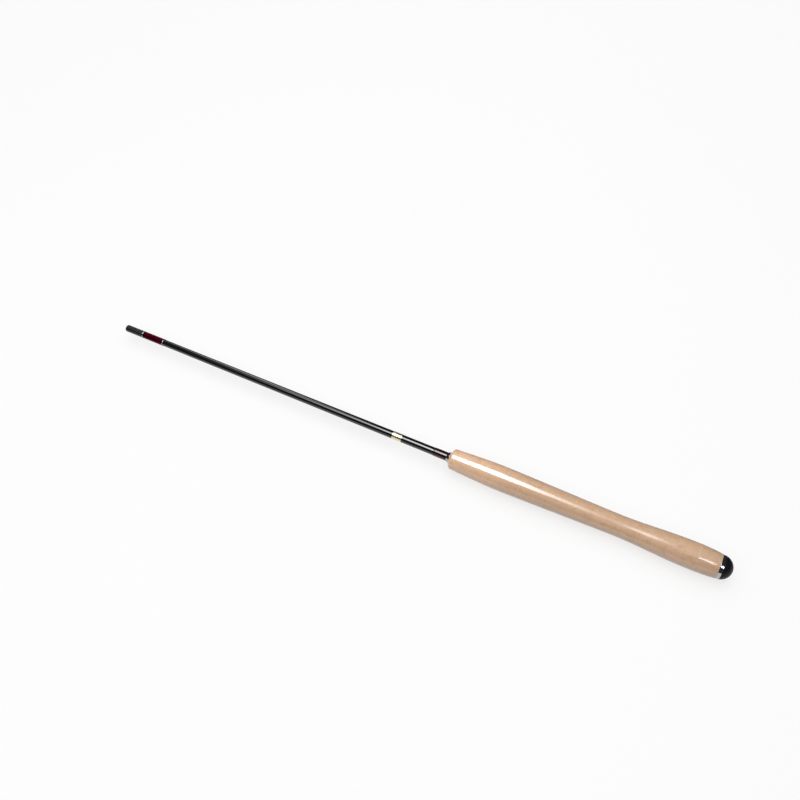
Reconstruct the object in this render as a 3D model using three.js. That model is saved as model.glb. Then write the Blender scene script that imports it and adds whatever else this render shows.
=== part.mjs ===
// A tenkara rod, collapsed: a telescopic fly rod that has neither reel nor guides.
// Millimetres, +Z up. The rod lies along X, with its top plug at -X and its butt cap at +X.
// The origin is under the middle of the rod, on the surface that the grip's belly rests on.
// Stations along the rod are counted from the front face of the top plug.

import * as THREE from "three";

// Turned forms. Each has its flats tangent to the true round, and one flat faces straight down.
const facets = 24;
const arcSteps = 4;

// The rod as a whole
const collapsedLength = 600;

// Fits
const glueLine = 0.05;
const shadowGap = 0.2;
const slideClearance = 0.04;
const restGap = 0.3;

// Top plug, a moulded head with a ribbed stem that grips the mouth of the butt section
const plugHeadLength = 18.8;
const plugHeadDiameter = 6.7;
const plugHeadRound = 1.1;
const plugNeckChamfer = 0.4;
const plugStemLength = 20;
const plugRibClearance = 0.08;
const plugRibCount = 3;
const plugRibWidth = 1.8;
const plugRibHeight = 0.3;
const plugTipChamfer = 0.6;
const plugBoreClearance = 0.575;
const plugFrontWall = 6;

// Butt section of the blank
const buttMouthDiameter = 6.4;
const buttTaper = 1.5;
const buttWall = 0.4;
const rimChamfer = 0.12;

// Sections nested in it. A taper is what the diameter loses from the rear end to the mouth.
const section6Taper = 0.42;
const section6Wall = 0.34;
const section5Taper = 0.35;
const section5Wall = 0.31;
const section4Taper = 0.29;
const section4Wall = 0.28;
const section3Taper = 0.28;
const section3Wall = 0.25;
const section2Taper = 0.22;
const section2Wall = 0.2;
const seatLength = 50;
const nestFrontGap = 2;
const nestStep = 1;

// Tip section, solid, with the collar that holds the line loop
const tipTaper = 0.34;
const tipReach = 14;
const tipCollarDiameter = 1.25;
const tipCollarLength = 5;
const tipCollarOverhang = 0.5;
const tipCollarRound = 0.15;

// Winding at the mouth, with a metallic trim at each end
const mouthSetback = 0.55;
const mouthTrimLength = 1.3;
const mouthTrimThickness = 0.17;
const mouthWrapLength = 22.2;
const mouthWrapThickness = 0.12;
const windingRound = 0.06;

// Gold band on the blank
const goldBandLength = 9.2;
const goldBandThickness = 0.06;
const goldBandSetback = 31.5;

// Winding in front of the grip, barrel-shaped under its varnish, with a thin trim at its front edge
const rearTrimLength = 1;
const rearTrimThickness = 0.12;
const rearWrapLength = 11.8;
const rearWrapEndThickness = 0.18;
const rearWrapCrownThickness = 0.26;

// Winding check, a collar with a flare between the winding and the cork
const checkLength = 2.7;
const checkLip = 0.3;
const checkRearDiameter = 11.2;
const checkRimLength = 0.5;
const checkCollarLength = 1.3;
const checkCollarRise = 0.15;
const checkFlareShare = 0.4;

// Grip, cork rings glued face to face and turned to one outline. The last ring is thicker.
const gripLength = 238.55;
const corkRingCount = 18;
const corkLastRingShare = 1.317;
const gripNoseProud = 0.1;
const gripNoseLength = 2.6;
const gripShoulderDiameter = 18.4;
const gripSwellDiameter = 22.2;
const gripSwellSetback = 52.1;
const gripFrontStraightShare = 0.7;
const gripWaistDiameter = 18.7;
const gripWaistShare = 0.618;
const gripBellyDiameter = 23.4;
const gripBellyLand = 6.3;
const gripRearDiameter = 20.8;
const gripRearStraightShare = 0.5;
const gripRearCurvePower = 3.5;
const stepsPerRing = 3;
const lastRingSteps = 6;

// Butt ring behind the cork
const buttRingThickness = 2.9;
const buttRingInset = 0.1;
const buttRingCrown = 0.08;

// Threaded insert, glued over the rear end of the butt section
const insertGrip = 12;
const insertRunOut = 4;
const insertWall = 0.8;

// Butt cap, a dome on a hollow threaded spigot
const capDomeHeight = 7.9;
const capInset = 0.3;
const capSpigotLength = 14;
const capSpigotWall = 0.8;
const capSpigotChamfer = 0.5;
const capThreadClearance = 0.1;
const capCupClearance = 0.94;
const capCupFloor = 2.6;
const capReliefDepth = 0.35;
const capReliefRun = 0.3;

// Seal under the cap's head, and the cushion in its cup
const sealCordDiameter = 1.3;
const sealLift = 0.06;
const sealRoom = 0.6;
const sealSideRoom = 0.4;
const cushionThickness = 3;
const cushionRound = 0.3;

// Radii that fit one another, from the mouth of the butt section outwards
const nestRadius = buttMouthDiameter / 2 - buttWall - slideClearance;
const cupRadius = nestRadius + capCupClearance;
const spigotRadius = cupRadius + capSpigotWall;
const threadRadius = spigotRadius + capThreadClearance;
const reliefRadius = spigotRadius - capReliefDepth;
const sealRadius = reliefRadius + sealLift + sealCordDiameter / 2;
const pocketRadius = sealRadius + sealCordDiameter / 2 + sealSideRoom;
const insertRadius = pocketRadius + insertWall;
const plugRibRadius = buttMouthDiameter / 2 - buttWall - plugRibClearance;
const plugStemRadius = plugRibRadius - plugRibHeight;
const plugBoreRadius = tipCollarDiameter / 2 + plugBoreClearance;
const gripNoseDiameter = checkRearDiameter + gripNoseProud * 2;
const buttRingRadius = gripRearDiameter / 2 - buttRingInset;
const capRadius = buttRingRadius - capInset;

// Places along the rod, worked out from both ends
const mouth = plugHeadLength + shadowGap;
const mouthTrimFront = mouth + mouthSetback;
const mouthWrapFront = mouthTrimFront + mouthTrimLength + glueLine;
const mouthTrimRear = mouthWrapFront + mouthWrapLength + glueLine;

const capSeat = collapsedLength - capDomeHeight;
const buttRingRear = capSeat - shadowGap;
const buttRingFront = buttRingRear - buttRingThickness;
const gripRear = buttRingFront - glueLine;
const gripFront = gripRear - gripLength;
const checkFront = gripFront - glueLine - checkLength;
const rearWrapFront = checkFront - glueLine - rearWrapLength;
const rearTrimFront = rearWrapFront - glueLine - rearTrimLength;
const goldBandFront = rearTrimFront - goldBandSetback - goldBandLength;

const corkPitch = gripLength / (corkRingCount - 1 + corkLastRingShare);
const lastRingLength = corkPitch * corkLastRingShare;
const landRear = gripLength - lastRingLength;
const landFront = landRear - gripBellyLand;
const waist = gripSwellSetback + (landFront - gripSwellSetback) * gripWaistShare;

const spigotFront = capSeat - capSpigotLength;
const blankEnd = spigotFront - insertRunOut;
const insertFront = blankEnd - insertGrip;
const insertLength = buttRingRear - insertFront;
const sealPocketDepth = sealCordDiameter + sealRoom;
const cupFloor = capSeat - capCupFloor;
const cushionFront = cupFloor - glueLine - cushionThickness;
const nestRear = cushionFront - restGap;
const stemEnd = mouth + plugStemLength;
const nestFront = stemEnd + nestFrontGap;

// Materials
const plugRubber = new THREE.MeshStandardMaterial({ color: 0x2b2b2d, roughness: 0.62, metalness: 0 });
const carbonBlank = new THREE.MeshStandardMaterial({ color: 0x0d0d10, roughness: 0.14, metalness: 0 });
const innerCarbon = new THREE.MeshStandardMaterial({ color: 0x15161a, roughness: 0.26, metalness: 0 });
const silverThread = new THREE.MeshStandardMaterial({ color: 0xb9b4b8, roughness: 0.3, metalness: 0.9 });
const crimsonThread = new THREE.MeshStandardMaterial({ color: 0x5a0012, roughness: 0.32, metalness: 0 });
const maroonThread = new THREE.MeshStandardMaterial({ color: 0x2a0c12, roughness: 0.12, metalness: 0 });
const blackThread = new THREE.MeshStandardMaterial({ color: 0x101012, roughness: 0.2, metalness: 0 });
const goldFoil = new THREE.MeshStandardMaterial({ color: 0xc2954a, roughness: 0.28, metalness: 0.9 });
const varnishedCork = new THREE.MeshStandardMaterial({ color: 0xc9a27c, roughness: 0.22, metalness: 0 });
const polishedSteel = new THREE.MeshStandardMaterial({ color: 0xc8c9cc, roughness: 0.08, metalness: 1 });
const turnedAluminium = new THREE.MeshStandardMaterial({ color: 0xb4b6ba, roughness: 0.35, metalness: 1 });
const capRubber = new THREE.MeshStandardMaterial({ color: 0x17181a, roughness: 0.48, metalness: 0 });
const sealRubber = new THREE.MeshStandardMaterial({ color: 0x0b0b0b, roughness: 0.6, metalness: 0 });
const cushionFoam = new THREE.MeshStandardMaterial({ color: 0x1e1e20, roughness: 0.9, metalness: 0 });

// The rod's own group has its Y axis along the rod, because that is the axis a lathe turns about.
const rod = new THREE.Group();
rod.rotation.z = -Math.PI / 2;
rod.position.x = -collapsedLength / 2;
rod.position.z = gripBellyDiameter / 2;

// A turned piece. Its outline is a list of [place along the piece, radius], outside first from front
// to rear. It starts and ends on the axis where the piece is solid there, and closes on itself
// where the piece is a tube.
function turned(name, outline, material, station) {
  const flatsOut = 1 / Math.cos(Math.PI / facets);
  const points = outline.map(([along, radius]) => new THREE.Vector2(radius * flatsOut, along));
  const last = points[points.length - 1];
  if (points[0].x > 0 || last.x > 0) {
    points.push(points[0].clone());
  }
  const geometry = new THREE.LatheGeometry(points, facets, Math.PI / facets);
  const mesh = new THREE.Mesh(geometry, material);
  mesh.name = name;
  mesh.position.y = station;
  rod.add(mesh);
  return mesh;
}

// Points on a round corner, from one angle to another about its centre. Angle zero points along
// the rod to the rear, and a quarter turn points outwards.
function corner(along, radius, round, from, to, steps = arcSteps) {
  const points = [];
  for (let step = 0; step <= steps; step += 1) {
    const angle = from + ((to - from) * step) / steps;
    points.push([along + round * Math.cos(angle), radius + round * Math.sin(angle)]);
  }
  return points;
}

const quarter = Math.PI / 2;

// Outer radius of the butt section at a station
function blankRadius(station) {
  const share = (station - mouth) / (blankEnd - mouth);
  return (buttMouthDiameter + buttTaper * share) / 2;
}

// A thin sleeve that follows the butt section's taper: a winding, a trim or a foil band
function sleeve(name, material, station, length, thickness, crown = thickness) {
  const front = blankRadius(station) + glueLine;
  const rear = blankRadius(station + length) + glueLine;
  const round = Math.min(windingRound, thickness / 2);
  const outside = [];
  for (let step = 0; step <= arcSteps; step += 1) {
    const share = step / arcSteps;
    const rise = thickness + (crown - thickness) * Math.sin(Math.PI * share);
    outside.push([round + (length - round * 2) * share, front + (rear - front) * share + rise]);
  }
  const outline = [
    [0, front],
    [0, front + thickness - round],
    ...outside,
    [length, rear + thickness - round],
    [length, rear],
  ];
  return turned(name, outline, material, station);
}

// Top plug: a head with a rounded front edge, a stem with friction ribs, and a bore from the rear
// that takes the front end of the tip section.
function topPlug() {
  const head = plugHeadDiameter / 2;
  const stem = plugStemRadius;
  const rib = plugRibRadius;
  const bore = plugBoreRadius;
  const end = plugHeadLength + shadowGap + plugStemLength;
  const outline = [[0, 0]];
  outline.push(...corner(plugHeadRound, head - plugHeadRound, plugHeadRound, quarter * 2, quarter));
  outline.push([plugHeadLength - plugNeckChamfer, head]);
  outline.push([plugHeadLength, head - plugNeckChamfer]);
  outline.push([plugHeadLength, stem]);
  const pitch = plugStemLength / (plugRibCount + 1);
  for (let count = 1; count <= plugRibCount; count += 1) {
    const crest = plugHeadLength + pitch * count;
    outline.push([crest - plugRibWidth / 2, stem]);
    outline.push([crest - plugRibWidth / 6, rib]);
    outline.push([crest + plugRibWidth / 6, rib]);
    outline.push([crest + plugRibWidth / 2, stem]);
  }
  outline.push([end - plugTipChamfer, stem]);
  outline.push([end, stem - plugTipChamfer]);
  outline.push([end, bore]);
  outline.push([plugFrontWall, bore]);
  outline.push([plugFrontWall, 0]);
  turned("top_plug", outline, plugRubber, 0);
}

// A tapered tube of the blank, with chamfered rims and, at its rear, a seat that the next larger
// section's mouth closes on. The seat has half the taper of the rest.
function blankTube(name, material, front, rear, rearRadius, taper, wall) {
  const length = rear - front;
  const mouthRadius = rearRadius - taper / 2;
  const seatDrop = ((rearRadius - mouthRadius) * seatLength) / length / 2;
  const outline = [
    [0, mouthRadius - rimChamfer],
    [rimChamfer, mouthRadius],
    [length - seatLength, rearRadius - seatDrop],
    [length - rimChamfer, rearRadius],
    [length, rearRadius - rimChamfer],
    [length, rearRadius - wall],
    [length - seatLength, rearRadius - seatDrop - wall],
    [0, mouthRadius - wall],
  ];
  return turned(name, outline, material, front);
}

// Butt section, one straight taper from the mouth to its end in the grip, because its windings,
// the cork and the insert are fitted on it.
function buttSection() {
  const length = blankEnd - mouth;
  const front = blankRadius(mouth);
  const rear = blankRadius(blankEnd);
  const outline = [
    [0, front - rimChamfer],
    [rimChamfer, front],
    [length, rear],
    [length, rear - buttWall],
    [0, front - buttWall],
  ];
  turned("butt_section", outline, carbonBlank, mouth);
}

// The nested sections. Each one's rear end is sized from the mouth that it jams in when the rod is
// drawn out, and each stands one step further forward than the section round it.
function nest() {
  const sections = [
    ["section_6", section6Taper, section6Wall],
    ["section_5", section5Taper, section5Wall],
    ["section_4", section4Taper, section4Wall],
    ["section_3", section3Taper, section3Wall],
    ["section_2", section2Taper, section2Wall],
  ];
  let rearRadius = nestRadius;
  sections.forEach(([name, taper, wall], index) => {
    const front = nestFront + nestStep * (sections.length - 1 - index);
    blankTube(name, innerCarbon, front, nestRear, rearRadius, taper, wall);
    rearRadius = rearRadius - taper / 2 - wall - slideClearance;
  });
  return rearRadius;
}

// Tip section, solid, and its collar. The collar stays in front of the nest, inside the plug's bore.
function tip(rearRadius) {
  const front = nestFront - tipReach;
  const length = nestRear - front;
  const frontRadius = rearRadius - tipTaper / 2;
  const outline = [
    [0, 0],
    [0, frontRadius],
    [length, rearRadius],
    [length, 0],
  ];
  turned("tip_section", outline, innerCarbon, front);

  const collarRear = tipCollarLength - tipCollarOverhang;
  const slope = (rearRadius - frontRadius) / length;
  const bore = frontRadius + slope * collarRear + glueLine;
  const outer = tipCollarDiameter / 2;
  const collar = [
    [0, bore],
    [0, outer - tipCollarRound],
    [tipCollarRound, outer],
    [tipCollarLength - tipCollarRound, outer],
    [tipCollarLength, outer - tipCollarRound],
    [tipCollarLength, bore],
  ];
  turned("tip_collar", collar, blackThread, front - tipCollarOverhang);
}

// Windings, trims and foil on the outside of the butt section
function windings() {
  const trim = mouthTrimThickness;
  sleeve("mouth_trim_front", silverThread, mouthTrimFront, mouthTrimLength, trim);
  sleeve("mouth_wrap", crimsonThread, mouthWrapFront, mouthWrapLength, mouthWrapThickness);
  sleeve("mouth_trim_rear", silverThread, mouthTrimRear, mouthTrimLength, trim);
  sleeve("gold_band", goldFoil, goldBandFront, goldBandLength, goldBandThickness);
  sleeve("rear_trim", blackThread, rearTrimFront, rearTrimLength, rearTrimThickness);
  const ends = rearWrapEndThickness;
  sleeve("rear_wrap", maroonThread, rearWrapFront, rearWrapLength, ends, rearWrapCrownThickness);
}

// Winding check: a collar next to the winding, which flares like a trumpet to the cork
function windingCheck() {
  const front = blankRadius(checkFront) + glueLine + rearWrapEndThickness + checkLip;
  const collar = front + checkCollarRise;
  const rear = checkRearDiameter / 2;
  const flareEnd = checkLength - checkRimLength;
  const bore = blankRadius(checkFront + checkLength) + glueLine;
  const outline = [
    [0, bore],
    [0, front],
    [checkCollarLength, collar],
    [(checkCollarLength + flareEnd) / 2, collar + (rear - collar) * checkFlareShare],
    [flareEnd, rear],
    [checkLength, rear],
    [checkLength, bore],
  ];
  turned("winding_check", outline, polishedSteel, checkFront);
}

// Radius of the grip at a distance behind its front face: a rounded nose, a quarter wave up to the
// front swell, a nearly straight fall to the waist, a half wave up to the belly with its short land,
// and over the last ring a fall that starts at once and grows steeper towards the butt ring.
function gripRadius(setback) {
  const halfWave = (share) => (1 - Math.cos(Math.PI * share)) / 2;
  let diameter;
  if (setback < gripNoseLength) {
    const share = setback / gripNoseLength;
    diameter = gripNoseDiameter + (gripShoulderDiameter - gripNoseDiameter) * Math.sin(quarter * share);
  } else if (setback < gripSwellSetback) {
    const share = (setback - gripNoseLength) / (gripSwellSetback - gripNoseLength);
    diameter = gripShoulderDiameter + (gripSwellDiameter - gripShoulderDiameter) * Math.sin(quarter * share);
  } else if (setback < waist) {
    const share = (setback - gripSwellSetback) / (waist - gripSwellSetback);
    const fall = share * gripFrontStraightShare + halfWave(share) * (1 - gripFrontStraightShare);
    diameter = gripSwellDiameter + (gripWaistDiameter - gripSwellDiameter) * fall;
  } else if (setback < landFront) {
    const share = (setback - waist) / (landFront - waist);
    diameter = gripWaistDiameter + (gripBellyDiameter - gripWaistDiameter) * halfWave(share);
  } else if (setback < landRear) {
    diameter = gripBellyDiameter;
  } else {
    const share = (setback - landRear) / lastRingLength;
    const curve = share ** gripRearCurvePower;
    const fall = share * gripRearStraightShare + curve * (1 - gripRearStraightShare);
    diameter = gripBellyDiameter + (gripRearDiameter - gripBellyDiameter) * fall;
  }
  return diameter / 2;
}

// Outline of the bore of one cork ring, from rear to front. The bore follows the blank, and is
// stepped out where the threaded insert lies inside the grip.
function corkBore(front, rear) {
  const wide = insertRadius + glueLine;
  const step = insertFront - glueLine;
  const bore = [];
  if (rear > step) {
    bore.push([rear, wide]);
    bore.push([Math.max(front, step), wide]);
  }
  if (front < step) {
    const end = Math.min(rear, step);
    bore.push([end, blankRadius(end) + glueLine]);
    bore.push([front, blankRadius(front) + glueLine]);
  }
  return bore;
}

// Cork rings, with a joint of one glue line between each and the next
function corkGrip() {
  const breaks = [gripNoseLength, landFront];
  for (let index = 0; index < corkRingCount; index += 1) {
    const front = corkPitch * index;
    const rear = index === corkRingCount - 1 ? gripLength : corkPitch * (index + 1) - glueLine;
    const places = breaks.filter((place) => place > front && place < rear);
    if (index === 0) {
      for (let step = 1; step < arcSteps; step += 1) {
        places.push((gripNoseLength * step) / arcSteps);
      }
    }
    const steps = index === corkRingCount - 1 ? lastRingSteps : stepsPerRing;
    for (let step = 0; step <= steps; step += 1) {
      places.push(front + ((rear - front) * step) / steps);
    }
    places.sort((a, b) => a - b);
    const outside = places.map((place) => [place - front, gripRadius(place)]);
    const bore = corkBore(gripFront + front, gripFront + rear);
    const inside = bore.map(([station, radius]) => [station - gripFront - front, radius]);
    const name = `cork_ring_${String(index + 1).padStart(2, "0")}`;
    turned(name, [...outside, ...inside], varnishedCork, gripFront + front);
  }
}

// Butt ring: a polished band with a slightly crowned face, glued round the insert behind the cork
function buttRing() {
  const edge = buttRingRadius - buttRingCrown;
  const bore = insertRadius + glueLine;
  const outline = [[0, bore]];
  const steps = arcSteps * 2;
  for (let step = 0; step <= steps; step += 1) {
    const share = step / steps;
    outline.push([buttRingThickness * share, edge + buttRingCrown * 4 * share * (1 - share)]);
  }
  outline.push([buttRingThickness, bore]);
  turned("butt_ring", outline, polishedSteel, buttRingFront);
}

// Threaded insert: a socket over the end of the blank, the wider bore of the thread behind it, and a
// pocket at the rear for the seal.
function threadedInsert() {
  const socket = blankRadius(blankEnd) + glueLine;
  const outline = [
    [0, insertRadius],
    [insertLength, insertRadius],
    [insertLength, pocketRadius],
    [insertLength - sealPocketDepth, pocketRadius],
    [insertLength - sealPocketDepth, threadRadius],
    [insertGrip + shadowGap, threadRadius],
    [insertGrip + shadowGap, socket],
    [0, socket],
  ];
  turned("threaded_insert", outline, turnedAluminium, insertFront);
}

// Butt cap: a dome that is part of a sphere, on a spigot with a thread relief under the head and a
// cup that takes the rear ends of the nested sections.
function buttCap() {
  const sphere = (capRadius ** 2 + capDomeHeight ** 2) / (capDomeHeight * 2);
  const pole = capSpigotLength + capDomeHeight;
  const rimAngle = Math.acos((sphere - capDomeHeight) / sphere);
  const dome = corner(pole - sphere, 0, sphere, rimAngle, 0, arcSteps * 2);
  dome[dome.length - 1] = [pole, 0];
  const reliefFront = capSpigotLength - sealPocketDepth - capReliefRun;
  const outline = [
    [capSpigotLength - capCupFloor, 0],
    [capSpigotLength - capCupFloor, cupRadius],
    [0, cupRadius],
    [0, spigotRadius - capSpigotChamfer],
    [capSpigotChamfer, spigotRadius],
    [reliefFront, spigotRadius],
    [reliefFront, reliefRadius],
    [capSpigotLength, reliefRadius],
    ...dome,
  ];
  turned("butt_cap", outline, capRubber, spigotFront);
}

// Seal: a ring of round cord in the thread relief, under the cap's head
function capSeal() {
  const cord = sealCordDiameter / 2;
  const outline = corner(cord, sealRadius, cord, quarter * 2, quarter * -2, arcSteps * 2);
  outline.pop();
  turned("cap_seal", outline, sealRubber, capSeat - sealLift - sealCordDiameter);
}

// Cushion: a soft disc in the bottom of the cap's cup
function cushion() {
  const outer = cupRadius - glueLine;
  const outline = [
    [0, 0],
    [0, outer - cushionRound],
    [cushionRound, outer],
    [cushionThickness, outer],
    [cushionThickness, 0],
  ];
  turned("cushion_disc", outline, cushionFoam, cushionFront);
}

topPlug();
buttSection();
tip(nest());
windings();
windingCheck();
corkGrip();
buttRing();
threadedInsert();
buttCap();
capSeal();
cushion();

export default rod;
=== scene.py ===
"""A collapsed tenkara rod in a plain studio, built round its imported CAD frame.

Every piece is a surface of revolution about the rod's axis, worked out with numpy on a grid of
stations along the rod and angles round it. Lengths in the tables are millimetres, and meshes are
in metres. The rod lies along X, with its top plug at -X, on a floor at Z = 0.
"""

import math

import bpy
import numpy as np
from mathutils import Euler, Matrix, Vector


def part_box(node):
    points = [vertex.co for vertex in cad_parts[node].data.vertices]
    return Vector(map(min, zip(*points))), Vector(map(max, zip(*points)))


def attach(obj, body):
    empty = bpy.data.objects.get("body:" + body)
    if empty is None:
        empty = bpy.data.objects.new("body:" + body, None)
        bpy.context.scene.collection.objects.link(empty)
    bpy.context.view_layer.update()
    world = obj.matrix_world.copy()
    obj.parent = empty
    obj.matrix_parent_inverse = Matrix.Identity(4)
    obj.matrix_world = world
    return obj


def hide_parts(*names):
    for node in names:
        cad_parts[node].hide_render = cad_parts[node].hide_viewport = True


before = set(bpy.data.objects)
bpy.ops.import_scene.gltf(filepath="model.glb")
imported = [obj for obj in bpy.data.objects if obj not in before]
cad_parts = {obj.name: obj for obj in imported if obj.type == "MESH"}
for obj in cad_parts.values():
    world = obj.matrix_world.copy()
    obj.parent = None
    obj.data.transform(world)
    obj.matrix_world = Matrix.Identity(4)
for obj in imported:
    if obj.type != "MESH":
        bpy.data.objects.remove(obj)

bl_info = {
    "name": "Tenkara rod",
    "version": (1, 0, 0),
    "blender": (4, 5, 0),
    "location": "3D View > Sidebar > Tenkara rod",
    "description": "Builds the pieces of a collapsed tenkara rod and the studio that it lies in",
    "category": "Add Mesh",
}

MM = 0.001
TURN = 2 * math.pi
# edges that bend more than this are drawn sharp
SHARP_ANGLE = math.radians(38)
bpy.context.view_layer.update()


def ends(node):
    """Front station, rear station, outer radius and axis height of a turned CAD node, in metres."""
    low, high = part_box(node)
    return low.x, high.x, (high.y - low.y) / 2, (high.z + low.z) / 2


BLANK_FRONT, BLANK_REAR, BLANK_REAR_RADIUS, AXIS_HEIGHT = ends("butt_section")
GRIP_FRONT = ends("cork_ring_01")[0]
RING_PITCH = ends("cork_ring_02")[0] - GRIP_FRONT
INSERT_FRONT, INSERT_REAR, INSERT_RADIUS, _ = ends("threaded_insert")
RINGS = 18
# thickness of the rear winding at its ends, where the winding check's collar stands against it
WINDING_EDGE = 0.18 * MM


def linear(hex_colour):
    """An sRGB hex value as linear red, green, blue and alpha."""
    parts = [int(hex_colour[place : place + 2], 16) / 255 for place in (1, 3, 5)]
    return tuple(p / 12.92 if p <= 0.04045 else ((p + 0.055) / 1.055) ** 2.4 for p in parts) + (1.0,)


# Settings


def length(name, description, millimetres):
    """A length setting, shown in the scene's units."""
    limits = {"min": 0, "unit": "LENGTH", "subtype": "DISTANCE"}
    return bpy.props.FloatProperty(name=name, description=description, default=millimetres * MM, **limits)


def colour(name, description, hex_colour):
    """A colour setting."""
    limits = {"size": 4, "min": 0, "max": 1, "subtype": "COLOR"}
    default = linear(hex_colour)
    return bpy.props.FloatVectorProperty(name=name, description=description, default=default, **limits)


class RodSizes(bpy.types.PropertyGroup):
    """Sizes of the detail that the CAD frame doesn't hold."""

    around: bpy.props.IntProperty(
        name="Steps round a piece", description="Grid columns round a slim piece", default=96, min=24
    )
    around_grip: bpy.props.IntProperty(
        name="Steps round the grip", description="Grid columns round the grip and the butt", default=160, min=24
    )
    support: length("Support", "How near to a corner a flat or straight stretch begins", 0.12)
    glue_line: length("Glue line", "Room between a fitted piece and what it is glued to", 0.05)
    blank_wall: length("Butt wall", "Wall of the butt section", 0.4)
    blank_front_radius: length("Mouth radius", "Outer radius of the butt section at its mouth", 3.2)
    thread_pitch: length("Winding pitch", "Spacing of the winding's threads", 0.25)
    thread_relief: length("Winding relief", "Depth between two threads under the lacquer", 0.008)
    screw_pitch: length("Screw pitch", "Travel of the butt cap in one turn", 1.0)
    screw_depth: length("Screw depth", "Depth of the cap's thread", 0.42)
    screw_radius: length("Spigot radius", "Crest radius of the thread on the cap's spigot", 4.5)
    varnish_wave: length("Varnish wave", "Height of the slow waves in the grip's varnish", 0.016)
    pore_depth: length("Pore depth", "Depth of a cork pore under its varnish", 0.07)


class RodColours(bpy.types.PropertyGroup):
    """Colours of the finishes."""

    cork: colour("Cork", "Clean cork", "#D3AC89")
    cork_dark: colour("Cork, dark", "Older growth in the cork", "#C49A77")
    cork_pore: colour("Cork pore", "Pores and cork filler", "#8A5A38")
    carbon: colour("Blank", "Painted carbon", "#050506")
    carbon_sheen: colour("Blank fibre", "Fibres under the blank's clear coat", "#0C0C0F")
    crimson: colour("Mouth winding", "Thread at the mouth", "#450010")
    maroon: colour("Rear winding", "Thread in front of the grip", "#1A0609")
    silver: colour("Silver thread", "Metallic thread beside the mouth winding", "#938C92")
    gold: colour("Gold foil", "Foil band on the blank", "#EDE0B4")
    steel: colour("Steel", "Winding check and butt ring", "#B4B3BC")
    aluminium: colour("Aluminium", "Threaded insert", "#B7B9BD")
    plug: colour("Plug rubber", "Top plug", "#151416")
    cap: colour("Cap", "Butt cap", "#17151A")


class StageSettings(bpy.types.PropertyGroup):
    """Camera, lamps and floor."""

    eye: bpy.props.FloatVectorProperty(
        name="Camera", description="Place of the camera", default=(0.21223, -0.40821, 0.67551), unit="LENGTH"
    )
    aim: bpy.props.FloatVectorProperty(
        name="Camera angles",
        description="Turns of the camera about X, Y and Z",
        default=tuple(math.radians(angle) for angle in (37.0905, 0.6414, 26.4315)),
        subtype="EULER",
    )
    lens: bpy.props.FloatProperty(
        name="Lens", description="Focal length in millimetres on a 36 mm wide sensor", default=40.5, min=1
    )
    floor: colour("Floor", "Pale table", "#F7F7F7")
    key: bpy.props.FloatProperty(name="Key", description="Radiance of the key light", default=1.2, min=0)
    fill: bpy.props.FloatProperty(name="Fill", description="Level of the room's light", default=0.42, min=0)
    softbox: bpy.props.FloatProperty(
        name="Softbox", description="Radiance of the mirrored softbox", default=13.0, min=0
    )


def sizes():
    """The size settings of the scene."""
    return bpy.context.scene.rod_sizes


def colours():
    """The colour settings of the scene."""
    return bpy.context.scene.rod_colours


# Turned surfaces


def rounded(along, radius, round_over, start, end, steps=6):
    """Points on a round corner about (along, radius), from one angle to another, in degrees.

    Angle 0 points to the rear and 90 outwards.
    """
    angle = np.radians(np.linspace(start, end, steps + 1))
    return np.column_stack([along + round_over * np.cos(angle), radius + round_over * np.sin(angle)])


def outline(*parts):
    """Joins corner points and arcs, given in millimetres, into one outline in metres.

    Each stretch that is longer than four supports gets a point one support from each end, so that
    smooth shading stays flat between the corners.
    """
    points = np.vstack([np.atleast_2d(np.asarray(part, float)) for part in parts]) * MM
    support = sizes().support
    kept = [points[:1]]
    for start, end in zip(points[:-1], points[1:]):
        reach = np.linalg.norm(end - start)
        if reach > 4 * support:
            step = (end - start) / reach * support
            kept.append(np.array([start + step, end - step]))
        kept.append(end[None])
    return np.vstack(kept)


def revolve(name, front, along, radius, around):
    """A surface of revolution on a grid of stations and angles.

    The point of row i and column j lies at (front + along_i, r_ij cos t_j, axis + r_ij sin t_j), with
    t_j = 2 pi j / around. Radius may be one value a row or a whole grid. Rows run along the outside
    from front to rear, and back along the inside. A piece that starts and ends on the axis is
    closed by one vertex at each pole, and any other closes from its last row to its first.
    """
    rows = len(along)
    grid = np.broadcast_to(np.asarray(radius, float).reshape(rows, -1), (rows, around))
    on_axis = 1e-9
    solid = grid[0].max() < on_axis
    angle = TURN * np.arange(around) / around
    stations = np.broadcast_to((front + np.asarray(along))[:, None], grid.shape)
    points = np.stack([stations, grid * np.cos(angle), AXIS_HEIGHT + grid * np.sin(angle)], axis=-1)
    if solid:
        points = points[1:-1]
        rows -= 2
    ring = np.arange(around)
    after = np.roll(ring, -1)
    first = np.arange(rows - 1 if solid else rows)[:, None] * around
    second = (first + around) % (rows * around)
    quads = np.stack([first + ring, first + after, second + after, second + ring], axis=-1).reshape(-1, 4)
    vertices = points.reshape(-1, 3)
    faces = quads.tolist()
    if solid:
        front_pole, rear_pole = len(vertices), len(vertices) + 1
        poles = [[front + along[0], 0, AXIS_HEIGHT], [front + along[-1], 0, AXIS_HEIGHT]]
        last = (rows - 1) * around
        fans = [np.column_stack([np.full(around, front_pole), after, ring])]
        fans.append(np.column_stack([last + ring, last + after, np.full(around, rear_pole)]))
        vertices = np.vstack([vertices, poles])
        faces += np.vstack(fans).tolist()
    mesh = bpy.data.meshes.new(name)
    mesh.from_pydata(vertices.tolist(), [], faces)
    mesh.shade_smooth()
    mesh.set_sharp_from_angle(angle=SHARP_ANGLE)
    piece = bpy.data.objects.new(name, mesh)
    bpy.context.scene.collection.objects.link(piece)
    return piece


def all_round(rows, around):
    """Radii of an outline's rows, the same at every angle."""
    return np.broadcast_to(rows[:, 1:], (len(rows), around))


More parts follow.
